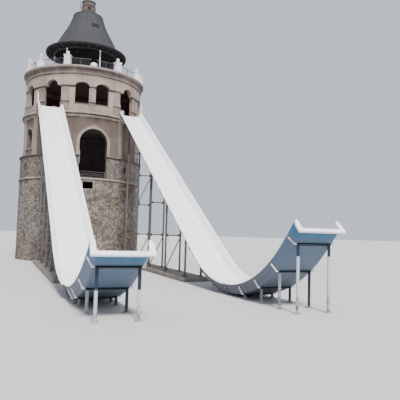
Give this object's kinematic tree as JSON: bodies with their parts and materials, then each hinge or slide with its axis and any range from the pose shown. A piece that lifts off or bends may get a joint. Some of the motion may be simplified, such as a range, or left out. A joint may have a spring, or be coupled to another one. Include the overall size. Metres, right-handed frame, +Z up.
{
  "type": "water slide tower",
  "caption": "Round masonry tower with an arcaded belvedere and conical roof, feeding steep open chutes that end in up-turned take-off ramps.",
  "frame": {"origin": "middle of the plan, on the ground", "axes": "+Z up; +Y from the chutes' take-off lips towards the tower; +X to the right as seen from the lips"},
  "size_m": [11.44, 39.5372, 25.56],
  "materials": {
    "rubble": "rough",
    "stucco": "rough",
    "plaster": "matte",
    "dressed_stone": "matte",
    "concrete": "matte",
    "roofing": "matte",
    "dark_timber": "matte",
    "white_paint": "satin",
    "gelcoat": "gloss",
    "galvanised_steel": "satin"
  },
  "bodies": {
    "root": {"base_wall_front": "rubble", "lower_storey_front": "rubble", "shaft_wall_front": "stucco", "base_wall_back": "rubble", "lower_storey_back": "rubble", "shaft_wall_back": "stucco", "belvedere_front": "plaster", "belvedere_right": "plaster", "belvedere_back": "plaster", "belvedere_left": "plaster", "frieze_front": "plaster", "frieze_back": "plaster", "door_floor": "concrete", "belvedere_floor": "dressed_stone", "main_cornice": "dressed_stone", "terrace_floor": "concrete", "lower_band": "dressed_stone", "shaft_trim": "dressed_stone", "door_guard": "galvanised_steel", "terrace_railing_front": "plaster", "terrace_railing_back": "plaster", "roof_posts": "white_paint", "roof_fascia": "dark_timber", "roof_cone": "roofing", "roof_turret": "roofing", "left_chute_ramp": "gelcoat", "left_chute_valley": "gelcoat", "left_chute_lower_slope": "gelcoat", "left_chute_upper_slope": "gelcoat", "left_chute_start": "gelcoat", "right_chute_ramp": "gelcoat", "right_chute_valley": "gelcoat", "right_chute_lower_slope": "gelcoat", "right_chute_upper_slope": "gelcoat", "right_chute_start": "gelcoat", "left_ramp_portal_1": "galvanised_steel", "left_ramp_portal_2": "galvanised_steel", "left_ramp_portal_3": "galvanised_steel", "left_ramp_portal_4": "galvanised_steel", "left_slope_bent_1": "galvanised_steel", "left_slope_bent_2": "galvanised_steel", "left_slope_bent_3": "galvanised_steel", "left_slope_bent_4": "galvanised_steel", "left_slope_bent_5": "galvanised_steel", "left_footing": "concrete", "right_ramp_portal_1": "galvanised_steel", "right_ramp_portal_2": "galvanised_steel", "right_ramp_portal_3": "galvanised_steel", "right_ramp_portal_4": "galvanised_steel", "right_slope_bent_1": "galvanised_steel", "right_slope_bent_2": "galvanised_steel", "right_slope_bent_3": "galvanised_steel", "right_slope_bent_4": "galvanised_steel", "right_slope_bent_5": "galvanised_steel", "right_footing": "concrete"}
  },
  "joints": []
}
